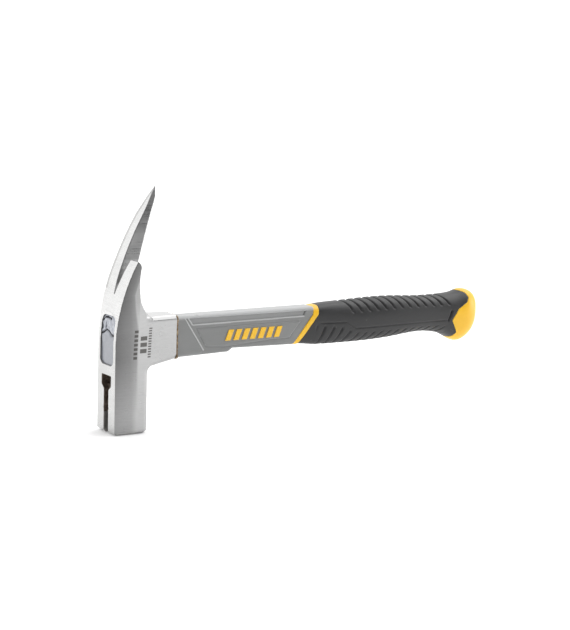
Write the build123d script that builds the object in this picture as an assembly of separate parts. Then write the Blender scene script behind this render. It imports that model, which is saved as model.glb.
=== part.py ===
from build123d import *
import os
from math import cos, pi, radians, sin

os.makedirs("parts", exist_ok=True)

# Carpenter's roofing hammer: a forged head with a spike and a short claw, on a fibreglass handle.
#
# Frame, in millimetres: the origin is the centre of the striking face. +Z runs up the head from
# the striking face to the spike, +X runs along the handle from the head to the butt, and Y is
# across the thickness. The spike is on the +Y side of the nail slot, the short claw on the -Y side.

# ---------------------------------------------------------------- driving dimensions
OVERALL_LENGTH = 325.5      # front of the poll to the end of the butt cap
HEAD_HEIGHT = 177.0         # striking face to the point of the spike
POLL_DEPTH = 28.0           # poll along X
POLL_WIDTH = 28.0           # poll across Y
FACE_BEVEL = 2.0            # bevel round the striking face
POLL_CORNER = 4.6           # rounding of the poll's rear corners and of the neck's lower edges

# front outline of the head: straight, then a long arc, then a nearly straight spike
FRONT_STRAIGHT = 63.3
FRONT_RADIUS = 137.0
FRONT_TURN = 25.0           # degrees that the long arc turns back

# cheeks and neck
FACET_START = 3.5           # X where the flat cheeks start to narrow towards the neck
NECK_END = 37.7
NECK_WIDTH = 20.4           # at the end of the neck
NECK_TOP = 84.8
NECK_BOTTOM_ROOT = 48.5
NECK_BOTTOM_END = 51.8
NECK_ROOT_RADIUS = 5.0      # underside of the neck into the back of the poll
NECK_CHAMFER = 2.8
CHAMFER_FADE = 9.0          # X where the chamfer leaves the cheek
CHAMFER_FULL = 17.0         # X where it has its full width
FLARE_START = 74.0          # height where the sides start to flare
FLARE_TOP = 180.0
FLARE_RATE = 0.068          # widening of each side per millimetre of height
FACET_TOP = 100.0           # height where the narrowing of the cheeks has faded out

# claws, as (X, Z) in side view
CLAW_TOP = (1.6, 126.4)     # front corner at the top of the short claw
CLAW_SHOULDER = (3.8, 124.6)
SADDLE = ((5.0, 100.0), (6.0, 96.3), (8.8, 91.2), (11.6, 87.6), (17.0, NECK_TOP))
CLAW_BACK = ((4.7, 121.1), (4.05, 114.9), (4.1, 108.5), SADDLE[0])
SPIKE_BASE = 168.8          # height where the four-sided point begins
SPIKE_FRONT = ((7.1, 138.3), (13.7, 150.1), (20.0, 160.0), (25.4, SPIKE_BASE))
SPIKE_BACK = ((30.2, SPIKE_BASE), (25.2, 158.0), (18.8, 140.5), (7.3, 106.5), SADDLE[0])
SPIKE_POINT = (31.2, 15.2)  # X and Y of the point
SPIKE_POINT_WIDTH = 0.5

# nail slot and spike, as (Y, Z) in front view
SLOT_ROOT = 101.0
SLOT_CLAW_Y = -0.35         # claw's side of the slot at its root
SLOT_SPIKE_Y = 0.45         # spike's side of the slot at its root
SLOT_CLAW_SLOPE = 0.203
SPIKE_INNER = ((3.4, 118.0), (5.8, 135.0), (7.6, 148.0), (9.4, 158.5), (12.2, SPIKE_BASE))
SPIKE_OUTER = ((17.6, SPIKE_BASE), (19.3, 160.0), (20.0, 150.0))

# eye, the tapering hole that the handle is set in
EYE_FRONT = (20.8, 36.0)    # width and height in the front face
EYE_REAR = (13.6, 24.0)     # width and height at the end of the neck
EYE_FRONT_Z = 68.2
EYE_REAR_Z = 68.7
EYE_CORNER = 4.6
POTTING_RECESS = 0.8

# nail starter in the front of the poll
GROOVE_WIDTH = 6.8
GROOVE_DEPTH = 4.6
POCKET_WIDTH = 14.4
POCKET_DEPTH = 6.8
POCKET_BOTTOM = 35.2
POCKET_TOP = 42.6
FUNNEL_HEIGHT = 3.0         # slanted shoulders between the pocket and the groove
MAGNET_DIAMETER = 7.6
MAGNET_LENGTH = 6.0
MAGNET_HEIGHT = 18.8

# fibreglass core
CORE_WIDTH = 11.6
CORE_HEIGHT = 20.4
CORE_CORNER = 4.0
CORE_START = -9.0
CORE_END = 300.0

# bead of adhesive at the end of the neck
BEAD_LENGTH = 1.4
BEAD_INSET = 0.7

# shank jacket
JACKET_WIDTH = 16.4
JACKET_TOP = 82.8           # at the neck
JACKET_TOP_END = 83.6
JACKET_SHOULDER = 2.6       # rounding of the upper edges
JACKET_CORNER = 2.2         # rounding of the lower edges
JACKET_LOW_START = 52.6     # underside at the neck
JACKET_LOW_STEP = 53.9      # underside where the overstrike block ends
JACKET_HIGH_STEP = 56.4     # underside just behind that block
JACKET_LOW_END = 55.2
JACKET_END = 170.0          # before the band cuts it off
STEP_START = 82.7
STEP_END = 86.5
BLOCK_PROUD = 0.6           # how far the overstrike block stands proud on each side
PANEL_DEPTH = 0.8           # recess of the long upper panel
PAD_PROUD = 0.5             # height of the lower raised pad

# badge bars on the lower pad
BAR_COUNT = 7
BAR_PITCH = 7.0
BAR_WIDTH = 4.4
BAR_HEIGHT = 8.0
BAR_SLANT = 3.0
BAR_PROUD = 0.7
BADGE_START = 79.0
BADGE_Z = 62.8

# chevron band between jacket and grip
BAND_WIDTH = 4.6
BAND_PROUD = 0.1
BAND_LINE = ((133.4, 49.0), (155.8, 77.6), (157.4, 92.0))  # X and Z of its front edge

# grip: X, top, bottom, half width and squareness of each section; a squareness of 2 is an ellipse
GRIP_SECTIONS = (
    (136.0, 83.3, 54.9, 8.9, 4.4),
    (158.0, 83.6, 53.9, 9.3, 4.0),
    (180.0, 85.6, 52.9, 11.5, 2.7),
    (209.0, 86.9, 53.2, 13.2, 2.35),
    (234.0, 86.8, 55.0, 13.8, 2.35),
    (256.0, 85.6, 57.0, 13.8, 2.35),
    (272.0, 85.6, 55.6, 13.7, 2.35),
    (285.0, 86.1, 51.2, 14.1, 2.35),
    (293.0, 87.4, 47.6, 14.6, 2.35),
)
# the butt: the same kind of section, closing down to a blunt end
CAP_SECTIONS = (
    (299.0, 89.0, 49.2, 14.4, 2.35),
    (304.0, 88.1, 52.6, 12.9, 2.35),
    (307.8, 85.9, 57.2, 10.2, 2.35),
    (310.3, 82.6, 62.4, 6.8, 2.35),
)
BUTT_TIP = (79.2, 67.2, 3.4, 2.35)
OVAL_POINTS = 16            # points of each section's outline
# where the grip ends and the cap shows, as (X, Z) in side view
CAP_LINE = (
    (293.0, 96.0), (293.4, 88.4), (297.9, 86.6), (299.7, 83.0), (297.5, 79.6), (288.7, 74.6),
    (282.8, 66.0), (286.4, 59.6), (288.5, 55.8), (286.7, 52.0), (283.2, 49.0), (282.1, 40.0),
)
CAP_LINE_RADIUS = 1.2
GRIP_WALL = 3.2             # thickness of the soft grip over the inner body
INNER_BODY_FIRST = 2        # the inner body begins at this grip section

# outlines on the sides of the jacket, as (X, Z)
BLOCK_OUTLINE = ((39.1, 53.9), (39.1, 80.8), (45.6, 80.8), (61.0, 57.0), (58.4, 54.6))
UPPER_PANEL = ((48.6, 81.0), (52.0, 76.6), (147.6, 77.4), (149.4, 81.0))
LOWER_PAD = ((55.2, 73.2), (63.0, 59.4), (79.2, 58.3), (118.7, 61.0), (135.0, 61.2), (145.0, 73.4))

FRONT = -POLL_DEPTH / 2
REAR = POLL_DEPTH / 2
BUTT = FRONT + OVERALL_LENGTH
JACKET_START = NECK_END + BEAD_LENGTH
FACET_SLOPE = (POLL_WIDTH - NECK_WIDTH) / 2 / (NECK_END - FACET_START)
CLEAR = 30.0                # larger than the hammer's half thickness, for cutting right across
LEAD = 3.0                  # how far ahead of a surface a cutter starts


# ---------------------------------------------------------------- helpers
def side_face(*edges):
    """A face in the XZ plane from edges drawn with (X, Z) points."""
    return Plane.XZ * make_face(edges)


def across(face, half_width):
    """The face extruded the same distance to both sides of the XZ plane."""
    return extrude(face, half_width, both=True)


def outline(points):
    """A closed line through the points."""
    return Polyline(*points, points[0])


def front_view(x):
    """The plane X = x, in which outlines are drawn with (Y, Z) points."""
    return Plane(origin=(x, 0, 0), x_dir=(0, 1, 0), z_dir=(1, 0, 0))


def box_between(low, high):
    """A box from its lowest to its highest corner."""
    size = [high[i] - low[i] for i in range(3)]
    middle = [(high[i] + low[i]) / 2 for i in range(3)]
    return Pos(*middle) * Box(*size)


def upright_section(x, width, height, middle_z, corner):
    """A rounded rectangle standing in the plane X = x."""
    return front_view(x) * Pos(0, middle_z) * RectangleRounded(width, height, corner)


def signed_root(value, power):
    """The root of a value's size, with the value's sign."""
    root = abs(value) ** (1 / power)
    return root if value >= 0 else -root


def oval_section(x, top, bottom, half_width, squareness, inset=0.0):
    """A superellipse standing in the plane X = x."""
    middle = (top + bottom) / 2
    half_height = (top - bottom) / 2 - inset
    points = []
    for i in range(OVAL_POINTS):
        angle = 2 * pi * i / OVAL_POINTS
        y = (half_width - inset) * signed_root(cos(angle), squareness / 2)
        z = half_height * signed_root(sin(angle), squareness / 2)
        points.append((x, y, middle + z))
    return make_face(Spline(*points, periodic=True))


def oval_solid(sections, inset=0.0):
    """A smooth body through a row of superellipses, each given as for oval_section."""
    return loft([oval_section(*section, inset) for section in sections])


# ---------------------------------------------------------------- head
def point_on_arc(degrees):
    """The point of the long front arc where it has turned back by this much."""
    turn = radians(degrees)
    return FRONT + FRONT_RADIUS * (1 - cos(turn)), FRONT_STRAIGHT + FRONT_RADIUS * sin(turn)


ARC_END = point_on_arc(FRONT_TURN)


def front_edges():
    """The front outline from the striking face up to the end of the long arc."""
    straight_end = (FRONT, FRONT_STRAIGHT)
    return [
        Line((FRONT, 0), straight_end),
        ThreePointArc(straight_end, point_on_arc(FRONT_TURN / 2), ARC_END),
    ]


def back_edges():
    """The rear outline from the saddle behind the claws, over the neck, to the striking face."""
    neck_root = (REAR + NECK_ROOT_RADIUS, NECK_BOTTOM_ROOT)
    poll_back = (REAR, NECK_BOTTOM_ROOT - NECK_ROOT_RADIUS)
    return [
        Spline(*SADDLE),
        Polyline(SADDLE[-1], (NECK_END, NECK_TOP), (NECK_END, NECK_BOTTOM_END), neck_root),
        TangentArc(neck_root, poll_back, tangent=(-1, 0)),
        Polyline(poll_back, (REAR, 0), (FRONT, 0)),
    ]


def claw_side():
    """Side outline of the poll, the neck and the short claw."""
    top = [
        Line(ARC_END, CLAW_TOP),
        ThreePointArc(CLAW_TOP, CLAW_SHOULDER, CLAW_BACK[0]),
        Spline(*CLAW_BACK),
    ]
    return side_face(*front_edges(), *top, *back_edges())


def spike_side():
    """Side outline of the poll, the neck and the spike."""
    top = [
        Spline(ARC_END, *SPIKE_FRONT),
        Line(SPIKE_FRONT[-1], SPIKE_BACK[0]),
        Spline(*SPIKE_BACK),
    ]
    return side_face(*front_edges(), *top, *back_edges())


def half_width(height):
    """Half the width of the head across the flat cheeks and claws at one height."""
    return POLL_WIDTH / 2 + FLARE_RATE * max(0.0, height - FLARE_START)


def facet_half_width(x):
    """Half the width of the narrowing cheek facets at the top of the neck."""
    return half_width(NECK_TOP) - FACET_SLOPE * (x - FACET_START)


def plan_face(height, slope):
    """Plan of the head at one height: flat cheeks, then facets that narrow by slope."""
    front = FRONT - 1
    rear = NECK_END + 20
    half = half_width(height)
    rear_half = half - slope * (rear - FACET_START)
    points = [
        (front, -half), (FACET_START, -half), (rear, -rear_half),
        (rear, rear_half), (FACET_START, half), (front, half),
    ]
    return Pos(0, 0, height) * make_face(outline(points))


def sides_body():
    """A tall block with the outer sides of the head."""
    plans = [
        plan_face(-1.0, FACET_SLOPE),
        plan_face(FLARE_START, FACET_SLOPE),
        plan_face(NECK_TOP, FACET_SLOPE),
        plan_face(FACET_TOP, 0.0),
        plan_face(FLARE_TOP, 0.0),
    ]
    body = loft(plans[:2], ruled=True)
    for low, high in zip(plans[1:-1], plans[2:]):
        body = body + loft([low, high], ruled=True)
    return body


def head_blank():
    """The forging before the eye and the nail starter are cut."""
    top = FLARE_TOP
    claw_outline = outline([
        (-CLEAR, -1), (SLOT_SPIKE_Y, -1), (SLOT_SPIKE_Y, SLOT_ROOT), (SLOT_CLAW_Y, SLOT_ROOT),
        (SLOT_CLAW_Y - SLOT_CLAW_SLOPE * (top - SLOT_ROOT), top), (-CLEAR, top),
    ])
    spike_outline = [
        Polyline((CLEAR, SPIKE_OUTER[-1][1]), (CLEAR, -1), (SLOT_SPIKE_Y, -1), (SLOT_SPIKE_Y, SLOT_ROOT)),
        Spline((SLOT_SPIKE_Y, SLOT_ROOT), *SPIKE_INNER),
        Line(SPIKE_INNER[-1], SPIKE_OUTER[0]),
        Spline(*SPIKE_OUTER),
        Line(SPIKE_OUTER[-1], (CLEAR, SPIKE_OUTER[-1][1])),
    ]
    view = front_view(-CLEAR)
    claw_block = extrude(view * make_face(claw_outline), 4 * CLEAR)
    spike_block = extrude(view * make_face(spike_outline), 4 * CLEAR)
    sides = sides_body()
    claw = across(claw_side(), CLEAR) & sides & claw_block
    spike = across(spike_side(), CLEAR) & sides & spike_block

    front_x, back_x = SPIKE_FRONT[-1][0], SPIKE_BACK[0][0]
    inner_y, outer_y = SPIKE_INNER[-1][0], SPIKE_OUTER[0][0]
    base = outline([(front_x, inner_y), (back_x, inner_y), (back_x, outer_y), (front_x, outer_y)])
    point_base = Pos(0, 0, SPIKE_BASE) * make_face(base)
    point_top = Pos(*SPIKE_POINT, HEAD_HEIGHT) * Rectangle(SPIKE_POINT_WIDTH, SPIKE_POINT_WIDTH)
    return claw + spike + loft([point_base, point_top], ruled=True)


def neck_chamfers():
    """Wedges that bevel the neck's upper edges and narrow the saddle behind the claws."""
    end = NECK_END + 5
    inner_edge = [
        (CHAMFER_FADE, facet_half_width(CHAMFER_FADE) + 1),
        (CHAMFER_FULL, facet_half_width(CHAMFER_FULL) - NECK_CHAMFER),
        (end, facet_half_width(end) - NECK_CHAMFER),
    ]
    top = [*inner_edge, (end, CLEAR), (CHAMFER_FADE, CLEAR)]
    wedges = []
    for side in (-1, 1):
        top_face = make_face(outline([(x, side * y) for x, y in top]))
        low_face = make_face(outline([(x, side * (y + NECK_CHAMFER)) for x, y in top]))
        faces = [Pos(0, 0, NECK_TOP - NECK_CHAMFER) * low_face, Pos(0, 0, NECK_TOP) * top_face]
        wedges.append(loft(faces, ruled=True))
        wedges.append(extrude(Pos(0, 0, NECK_TOP) * top_face, FACET_TOP - NECK_TOP))
    return wedges


def eye_cavity():
    """The tapering hole for the handle, from in front of the head to behind the neck."""
    ends = []
    for x in (FRONT - 1, NECK_END + 1):
        t = (x - FRONT) / (NECK_END - FRONT)
        width = EYE_FRONT[0] + (EYE_REAR[0] - EYE_FRONT[0]) * t
        height = EYE_FRONT[1] + (EYE_REAR[1] - EYE_FRONT[1]) * t
        middle_z = EYE_FRONT_Z + (EYE_REAR_Z - EYE_FRONT_Z) * t
        ends.append(upright_section(x, width, height, middle_z, EYE_CORNER))
    return loft(ends, ruled=True)


def nail_starter():
    """The pocket for a nail head, the groove for its shank and the bore for the magnet."""
    start = FRONT - LEAD
    wide, narrow = POCKET_WIDTH / 2, GROOVE_WIDTH / 2
    pocket = box_between((start, -wide, POCKET_BOTTOM), (FRONT + POCKET_DEPTH, wide, POCKET_TOP))
    groove = box_between((start, -narrow, -1), (FRONT + GROOVE_DEPTH, narrow, POCKET_BOTTOM))
    funnel_bottom = POCKET_BOTTOM - FUNNEL_HEIGHT
    funnel_outline = outline([
        (-wide, POCKET_BOTTOM), (wide, POCKET_BOTTOM), (narrow, funnel_bottom), (-narrow, funnel_bottom),
    ])
    funnel = extrude(front_view(start) * make_face(funnel_outline), LEAD + GROOVE_DEPTH)
    bore_circle = front_view(start) * Pos(0, MAGNET_HEIGHT) * Circle(MAGNET_DIAMETER / 2)
    bore = extrude(bore_circle, LEAD + GROOVE_DEPTH + MAGNET_LENGTH)
    return [pocket, funnel, groove, bore]


def rear_lower_edges(head):
    """The edge on each side that runs up the back of the poll and out under the neck."""
    chosen = ShapeList()
    for edge in head.edges():
        low, high = edge.bounding_box().min, edge.bounding_box().max
        on_side = high.Y - low.Y < 5.0 and abs(edge.center().Y) > NECK_WIDTH / 2 - 0.1
        on_back = low.X > REAR - 0.1 and high.Z < NECK_BOTTOM_END + 0.1
        if on_side and on_back:
            chosen.append(edge)
    return chosen


def make_head():
    head = head_blank()
    for wedge in neck_chamfers():
        head = head - wedge
    head = fillet(rear_lower_edges(head), POLL_CORNER)
    face_edges = head.faces().sort_by(Axis.Z)[0].edges()
    head = chamfer(face_edges, FACE_BEVEL)
    head = head - eye_cavity()
    for cutter in nail_starter():
        head = head - cutter
    return head


# ---------------------------------------------------------------- what fills the eye
def make_core():
    """The fibreglass bar that runs from the eye to the butt."""
    section = upright_section(CORE_START, CORE_WIDTH, CORE_HEIGHT, EYE_REAR_Z, CORE_CORNER)
    return extrude(section, CORE_END - CORE_START)


def behind_front(depth):
    """Everything more than depth behind the front outline of the head."""
    far = NECK_END + 20
    closing = Polyline(ARC_END, (far, ARC_END[1]), (far, 0), (FRONT, 0))
    return across(Pos(depth, 0, 0) * side_face(*front_edges(), closing), CLEAR)


def make_potting(core):
    """Casting resin that fills the eye round the core, sunk a little below the front face."""
    resin = eye_cavity() & behind_front(POTTING_RECESS)
    resin = resin & box_between((FRONT, -CLEAR, 0), (NECK_END, CLEAR, HEAD_HEIGHT))
    return resin - core


def make_bead(core):
    """Adhesive squeezed out in a thin ring between the end of the neck and the jacket."""
    middle = (NECK_TOP + NECK_BOTTOM_END) / 2
    height = NECK_TOP - NECK_BOTTOM_END - 2 * BEAD_INSET
    ring = upright_section(NECK_END, NECK_WIDTH - 2 * BEAD_INSET, height, middle, NECK_CHAMFER)
    return extrude(ring, BEAD_LENGTH) - core


def make_magnet():
    """The round magnet pressed into its bore, flush with the bottom of the groove."""
    disc = front_view(FRONT + GROOVE_DEPTH) * Pos(0, MAGNET_HEIGHT) * Circle(MAGNET_DIAMETER / 2)
    return extrude(disc, MAGNET_LENGTH)


# ---------------------------------------------------------------- handle
def ahead_of_line(points, shift):
    """Everything on the head side of a bent line drawn in side view."""
    moved = [(x + shift, z) for x, z in points]
    far = FRONT - CLEAR
    return across(side_face(outline([(far, 40), *moved, (far, 100)])), CLEAR)


def jacket_body():
    """The plain shank cover with its rounded long edges."""
    low_edge = [
        (JACKET_START, JACKET_LOW_START), (STEP_START, JACKET_LOW_STEP), (STEP_END, JACKET_HIGH_STEP),
        (JACKET_END, JACKET_LOW_END),
    ]
    side = outline([*low_edge, (JACKET_END, JACKET_TOP_END), (JACKET_START, JACKET_TOP)])
    body = across(side_face(side), JACKET_WIDTH / 2)
    long_edges = ShapeList()
    for edge in body.edges():
        if abs(edge.center().Y) > 1 and JACKET_START < edge.center().X < JACKET_END:
            long_edges.append(edge)
    shoulders = long_edges.group_by(Axis.Z)[-1]
    body = fillet(shoulders, JACKET_SHOULDER)
    lower = ShapeList()
    for edge in body.edges():
        low, high = edge.bounding_box().min, edge.bounding_box().max
        if high.Z < JACKET_HIGH_STEP + 0.1 and high.X - low.X > 1:
            lower.append(edge)
    return fillet(lower, JACKET_CORNER)


def make_jacket(core):
    """The hard shank cover, with the overstrike block and the raised and sunk panels."""
    body = jacket_body() & ahead_of_line(BAND_LINE, 0)
    body = body + across(side_face(outline(BLOCK_OUTLINE)), JACKET_WIDTH / 2 + BLOCK_PROUD)
    for side in (-1, 1):
        surface = side * JACKET_WIDTH / 2
        body = body - Pos(0, surface, 0) * across(side_face(outline(UPPER_PANEL)), PANEL_DEPTH)
        body = body + Pos(0, surface, 0) * across(side_face(outline(LOWER_PAD)), PAD_PROUD)
    return body - core


def make_badge(side):
    """A row of slanted bars standing on the lower pad of one side."""
    surface = JACKET_WIDTH / 2 + PAD_PROUD
    bars = []
    for i in range(BAR_COUNT):
        x = BADGE_START + i * BAR_PITCH
        bar = side_face(outline([
            (x, BADGE_Z), (x + BAR_WIDTH, BADGE_Z), (x + BAR_WIDTH + BAR_SLANT, BADGE_Z + BAR_HEIGHT),
            (x + BAR_SLANT, BADGE_Z + BAR_HEIGHT),
        ]))
        bars.append(Pos(0, side * surface, 0) * extrude(bar, -side * BAR_PROUD))
    return Compound(children=bars)


def make_band(core):
    """The slanted band that separates the jacket from the grip."""
    envelope = oval_solid(GRIP_SECTIONS, -BAND_PROUD)
    return (envelope & ahead_of_line(BAND_LINE, BAND_WIDTH)) - ahead_of_line(BAND_LINE, 0) - core


def ahead_of_cap():
    """Everything on the head side of the wavy edge between grip and cap."""
    far = FRONT - CLEAR
    edge = FilletPolyline(*CAP_LINE, radius=CAP_LINE_RADIUS)
    closing = Polyline(CAP_LINE[-1], (far, CAP_LINE[-1][1]), (far, CAP_LINE[0][1]), CAP_LINE[0])
    return across(side_face(edge, closing), CLEAR)


def make_inner_body(core):
    """The hard inner body that gives the grip its bulk."""
    return oval_solid(GRIP_SECTIONS[INNER_BODY_FIRST:], GRIP_WALL) - core


def make_grip_and_cap(core, inner_body):
    """The soft grip and the hard cap, two pieces of one envelope."""
    envelope = oval_solid((*GRIP_SECTIONS, *CAP_SECTIONS, (BUTT, *BUTT_TIP)))
    shell = envelope - core - inner_body
    grip_side = ahead_of_cap()
    grip = (shell & grip_side) - ahead_of_line(BAND_LINE, BAND_WIDTH)
    return grip, shell - grip_side


if __name__ == "__main__":
    core = make_core()
    inner_body = make_inner_body(core)
    grip, cap = make_grip_and_cap(core, inner_body)
    parts = {
        "head": make_head(),
        "nail_magnet": make_magnet(),
        "fibreglass_core": core,
        "eye_potting": make_potting(core),
        "neck_bead": make_bead(core),
        "shank_jacket": make_jacket(core),
        "badge_left": make_badge(-1),
        "badge_right": make_badge(1),
        "trim_band": make_band(core),
        "grip_body": inner_body,
        "grip_sleeve": grip,
        "butt_cap": cap,
    }
    for name, part in parts.items():
        print(name, round(part.volume), len(part.solids()), part.is_valid)
        export_step(part, f"parts/{name}.step")
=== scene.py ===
import math

import bmesh
import bpy
import numpy as np
from mathutils import Matrix, Vector


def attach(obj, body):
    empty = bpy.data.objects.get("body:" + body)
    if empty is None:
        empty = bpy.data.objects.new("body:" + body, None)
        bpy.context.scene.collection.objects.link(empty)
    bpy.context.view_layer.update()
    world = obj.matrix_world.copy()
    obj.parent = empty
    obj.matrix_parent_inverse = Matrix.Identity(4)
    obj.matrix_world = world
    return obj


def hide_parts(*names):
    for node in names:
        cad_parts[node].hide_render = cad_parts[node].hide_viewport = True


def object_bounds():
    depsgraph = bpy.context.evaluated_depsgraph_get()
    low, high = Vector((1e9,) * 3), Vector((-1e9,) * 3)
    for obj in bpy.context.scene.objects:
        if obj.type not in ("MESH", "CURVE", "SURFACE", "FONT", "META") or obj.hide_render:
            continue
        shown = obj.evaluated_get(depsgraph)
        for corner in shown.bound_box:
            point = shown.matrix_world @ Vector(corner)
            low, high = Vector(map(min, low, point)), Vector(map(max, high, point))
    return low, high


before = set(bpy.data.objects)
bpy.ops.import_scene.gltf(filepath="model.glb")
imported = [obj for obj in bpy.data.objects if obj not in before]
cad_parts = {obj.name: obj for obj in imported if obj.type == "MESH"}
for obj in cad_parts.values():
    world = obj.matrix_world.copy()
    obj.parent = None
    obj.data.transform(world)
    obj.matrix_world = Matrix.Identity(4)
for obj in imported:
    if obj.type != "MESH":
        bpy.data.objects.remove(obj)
cad_low, cad_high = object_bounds()

MM = 0.001
scene = bpy.context.scene


# ---------------------------------------------------------------- camera
CAMERA_AZIMUTH = -31.63      # degrees, 0 looks along +Y
CAMERA_ELEVATION = 9.27
CAMERA_ROLL = 1.61
CAMERA_LENS = 115.43
CAMERA_SENSOR = 36.0
CAMERA_AIM = Vector((135.9, 0.0, 77.2)) * MM
CAMERA_DISTANCE = 1528.6 * MM


def make_camera():
    azimuth = math.radians(CAMERA_AZIMUTH)
    elevation = math.radians(CAMERA_ELEVATION)
    back = Vector((
        math.sin(azimuth) * math.cos(elevation),
        -math.cos(azimuth) * math.cos(elevation),
        math.sin(elevation),
    ))
    right = Vector((math.cos(azimuth), math.sin(azimuth), 0.0))
    turn = Matrix.Rotation(math.radians(CAMERA_ROLL), 3, back)
    axes = turn @ Matrix((right, back.cross(right), back)).transposed()
    data = bpy.data.cameras.new("camera")
    data.lens = CAMERA_LENS
    data.sensor_width = CAMERA_SENSOR
    data.clip_start = 0.01
    data.clip_end = 200.0
    camera = bpy.data.objects.new("camera", data)
    camera.matrix_world = Matrix.Translation(CAMERA_AIM + back * CAMERA_DISTANCE) @ axes.to_4x4()
    scene.collection.objects.link(camera)
    scene.camera = camera


# ---------------------------------------------------------------- node helpers
def new_material(name):
    """A material with an empty tree apart from its output, and the tree."""
    material = bpy.data.materials.new(name)
    material.use_nodes = True
    tree = material.node_tree
    tree.nodes.clear()
    return material, tree


def add(tree, kind, inputs=None, **settings):
    """A node with its settings and inputs. An input is a value or another node's output socket."""
    node = tree.nodes.new(kind)
    for key, value in settings.items():
        setattr(node, key, value)
    for key, value in (inputs or {}).items():
        if isinstance(value, bpy.types.NodeSocket):
            tree.links.new(value, node.inputs[key])
        else:
            node.inputs[key].default_value = value
    return node


def object_coordinates(tree, scale=(1.0, 1.0, 1.0), turn=(0.0, 0.0, 0.0)):
    """The piece's own coordinates in millimetres, stretched by scale."""
    coordinates = add(tree, "ShaderNodeTexCoord").outputs["Object"]
    mapping = add(tree, "ShaderNodeMapping", {
        "Vector": coordinates,
        "Rotation": turn,
        "Scale": [s / MM for s in scale],
    })
    return mapping.outputs["Vector"]


def noise(tree, vector, scale, detail=3.0, roughness=0.55):
    """Noise from 0 to 1, with scale cells to each unit of the vector."""
    return add(tree, "ShaderNodeTexNoise", {
        "Vector": vector, "Scale": scale, "Detail": detail, "Roughness": roughness,
    }).outputs["Fac"]


def ramp(tree, value, stops):
    """A colour ramp. Each stop is a position and a grey value or a colour."""
    node = add(tree, "ShaderNodeValToRGB", {"Fac": value})
    elements = node.color_ramp.elements
    while len(elements) < len(stops):
        elements.new(1.0)
    for element, (position, colour) in zip(elements, stops):
        element.position = position
        if isinstance(colour, float):
            colour = (colour, colour, colour)
        element.color = (*colour, 1.0)
    return node.outputs["Color"]


def level(tree, value, low, high, start=0.0, end=1.0):
    """value mapped from start..end to low..high and clamped."""
    return add(tree, "ShaderNodeMapRange", {
        "Value": value, "From Min": start, "From Max": end, "To Min": low, "To Max": high,
    }).outputs["Result"]


def fade(tree, value, start, end):
    """0 where value is at start or short of it, and 1 at end or past it."""
    return level(tree, value, 0.0, 1.0, start, end)


def maths(tree, operation, first, second=0.0):
    """The result of one operation on two numbers or sockets."""
    node = add(tree, "ShaderNodeMath", operation=operation)
    for index, value in enumerate((first, second)):
        if isinstance(value, bpy.types.NodeSocket):
            tree.links.new(value, node.inputs[index])
        else:
            node.inputs[index].default_value = value
    return node.outputs["Value"]


def times(tree, first, second):
    return maths(tree, "MULTIPLY", first, second)


def place(tree):
    """The piece's own X, Y and Z in millimetres, as three sockets."""
    node = add(tree, "ShaderNodeSeparateXYZ", {"Vector": object_coordinates(tree)})
    return node.outputs["X"], node.outputs["Y"], node.outputs["Z"]


def between(tree, value, low, high):
    """1 where value lies between low and high, else 0."""
    above = maths(tree, "GREATER_THAN", value, low)
    return times(tree, above, maths(tree, "LESS_THAN", value, high))


def blend(tree, amount, first, second, mode="MIX"):
    """Two colours mixed by amount."""
    node = add(tree, "ShaderNodeMix", data_type="RGBA", blend_type=mode)
    sockets = (node.inputs[0], node.inputs[6], node.inputs[7])
    for socket, value in zip(sockets, (amount, first, second)):
        if isinstance(value, bpy.types.NodeSocket):
            tree.links.new(value, socket)
        elif isinstance(value, tuple):
            socket.default_value = (*value, 1.0)
        else:
            socket.default_value = value
    return node.outputs[2]


def dim(tree, colour, share):
    """A colour multiplied by a number or by another colour."""
    return blend(tree, 1.0, colour, share, "MULTIPLY")


def bump(tree, height, distance, strength=1.0, normal=None):
    """A normal that follows height, over an earlier normal if one is given. distance is in millimetres."""
    inputs = {"Height": height, "Distance": distance * MM, "Strength": strength}
    if normal is not None:
        inputs["Normal"] = normal
    return add(tree, "ShaderNodeBump", inputs).outputs["Normal"]


def convexity(tree, low, high):
    """0 where the surface is no more convex than low, and 1 from high on; hollows where low is above high."""
    pointiness = add(tree, "ShaderNodeNewGeometry").outputs["Pointiness"]
    return fade(tree, pointiness, low, high)


def surface(tree, **inputs):
    """The Principled shader, joined to the output."""
    shader = add(tree, "ShaderNodeBsdfPrincipled")
    for key, value in inputs.items():
        socket = shader.inputs[key.replace("_", " ")]
        if isinstance(value, bpy.types.NodeSocket):
            tree.links.new(value, socket)
        elif isinstance(value, tuple):
            socket.default_value = (*value, 1.0)
        else:
            socket.default_value = value
    output = add(tree, "ShaderNodeOutputMaterial")
    tree.links.new(shader.outputs["BSDF"], output.inputs["Surface"])


# ---------------------------------------------------------------- materials
POLL_FRONT = -14.0

WORN_SHEEN_EDGES = (0.57, 0.67)   # convexity where the steel's edges begin to look worn and carry a painted highlight, and where they are bright
WORN_SHEEN_SHARE = 0.6
WORN_SHEEN_STEEL = (0.70, 0.70, 0.69)
PLAIN_RISE = (52.0, 92.0)   # heights between which a plain steel goes from its lower base to its upper one
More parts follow.
